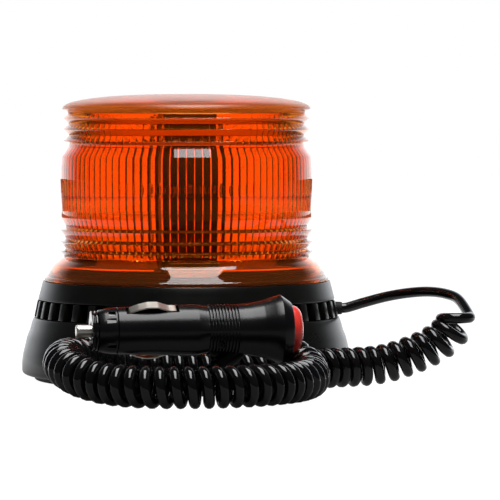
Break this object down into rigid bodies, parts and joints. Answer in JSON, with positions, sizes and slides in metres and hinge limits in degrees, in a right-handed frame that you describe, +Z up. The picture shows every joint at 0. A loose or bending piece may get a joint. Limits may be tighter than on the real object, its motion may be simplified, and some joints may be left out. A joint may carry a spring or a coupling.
{
  "type": "led warning beacon",
  "caption": "Round warning beacon with a ribbed amber lens, a louvred magnetic base, a curly power cord and a vehicle accessory plug with an end switch.",
  "frame": {"origin": "on the surface the beacon stands on, under the middle of its base", "axes": "+Z up along the lens axis, -Y front, the cord leaves the base at +X"},
  "size_m": [0.196, 0.2415, 0.1252],
  "materials": {
    "amber_lens": "clear amber polycarbonate, moulded with prism rings and flutes",
    "black_plastic": "satin black ABS",
    "black_gloss": "smooth black plastic",
    "black_rubber": "moulded black rubber",
    "cord_jacket": "glossy black elastomer jacket",
    "nickel": "bright nickel plate",
    "steel": "zinc plated steel",
    "aluminium": "extruded aluminium",
    "ferrite": "sintered ferrite",
    "board_green": "solder-masked circuit board",
    "clear_optic": "clear acrylic",
    "red_button": "translucent red plastic",
    "glass": "clear glass tube with plated caps",
    "copper": "enamelled copper winding"
  },
  "bodies": {
    "root": {"base_pad": "black_rubber", "board_screw_1": "steel", "board_screw_2": "steel", "board_screw_3": "steel", "cable_grommet": "black_rubber", "capacitor": "black_gloss", "cord_coil": "cord_jacket", "cord_lead": "cord_jacket", "cord_tail": "cord_jacket", "driver_board": "board_green", "heat_plate": "aluminium", "housing_screw_1": "steel", "housing_screw_2": "steel", "housing_screw_3": "steel", "housing_screw_4": "steel", "inductor": "copper", "led_board_1": "board_green", "led_board_2": "board_green", "led_board_3": "board_green", "led_board_4": "board_green", "led_optic_1": "clear_optic", "led_optic_2": "clear_optic", "led_optic_3": "clear_optic", "led_optic_4": "clear_optic", "led_tower": "aluminium", "lens": "amber_lens", "lens_seal": "black_rubber", "louvre_ring": "black_plastic", "lower_housing": "black_plastic", "magnet_cup": "steel", "magnet_ring": "ferrite", "plug_screw": "steel", "plug_shell_back": "black_plastic", "plug_shell_front": "black_plastic", "regulator": "black_gloss", "spring_plate": "nickel", "strain_relief": "black_rubber", "supply_cable": "cord_jacket", "switch_body": "black_gloss", "tip_spring": "steel", "tower_cap": "black_plastic", "upper_housing": "black_plastic"},
    "tip_set": {"plug_tip": "nickel", "fuse": "glass"},
    "ground_top": {"ground_contact_top": "nickel"},
    "ground_bottom": {"ground_contact_bottom": "nickel"},
    "button": {"switch_button": "red_button"},
    "nose_slide": {"nose_ring": "black_gloss"},
    "nose_turn": {"nose_cap": "black_plastic"}
  },
  "joints": [
    {"name": "tip_press", "type": "slide", "parent": "root", "child": "tip_set", "axis": [0.9877, 0.1564, 0], "range_m": [0, 0.005], "stiffness_N_per_m": 400, "deforming": ["tip_spring"]},
    {"name": "ground_top_press", "type": "slide", "parent": "root", "child": "ground_top", "axis": [-0.071, 0.4484, -0.891], "range_m": [0, 0.0012], "stiffness_N_per_m": 1500},
    {"name": "ground_bottom_press", "type": "slide", "parent": "root", "child": "ground_bottom", "axis": [0.071, -0.4484, 0.891], "range_m": [0, 0.0012], "stiffness_N_per_m": 1500},
    {"name": "switch_press", "type": "slide", "parent": "root", "child": "button", "axis": [-0.9877, -0.1564, 0], "range_m": [0, 0.0025], "stiffness_N_per_m": 600},
    {"name": "nose_cap_travel", "type": "slide", "parent": "root", "child": "nose_slide", "axis": [-0.9877, -0.1564, 0], "range_m": [0, 0.003]},
    {"name": "nose_cap_turn", "type": "hinge", "parent": "nose_slide", "child": "nose_turn", "pos_m": [-0.0454, -0.1244, 0.0288], "axis": [-0.9877, -0.1564, 0], "range_deg": [0, 720]}
  ],
  "couplings": [
    {"joint": "nose_cap_turn", "follows": "nose_cap_travel", "rad_per_m": 4188.8}
  ]
}
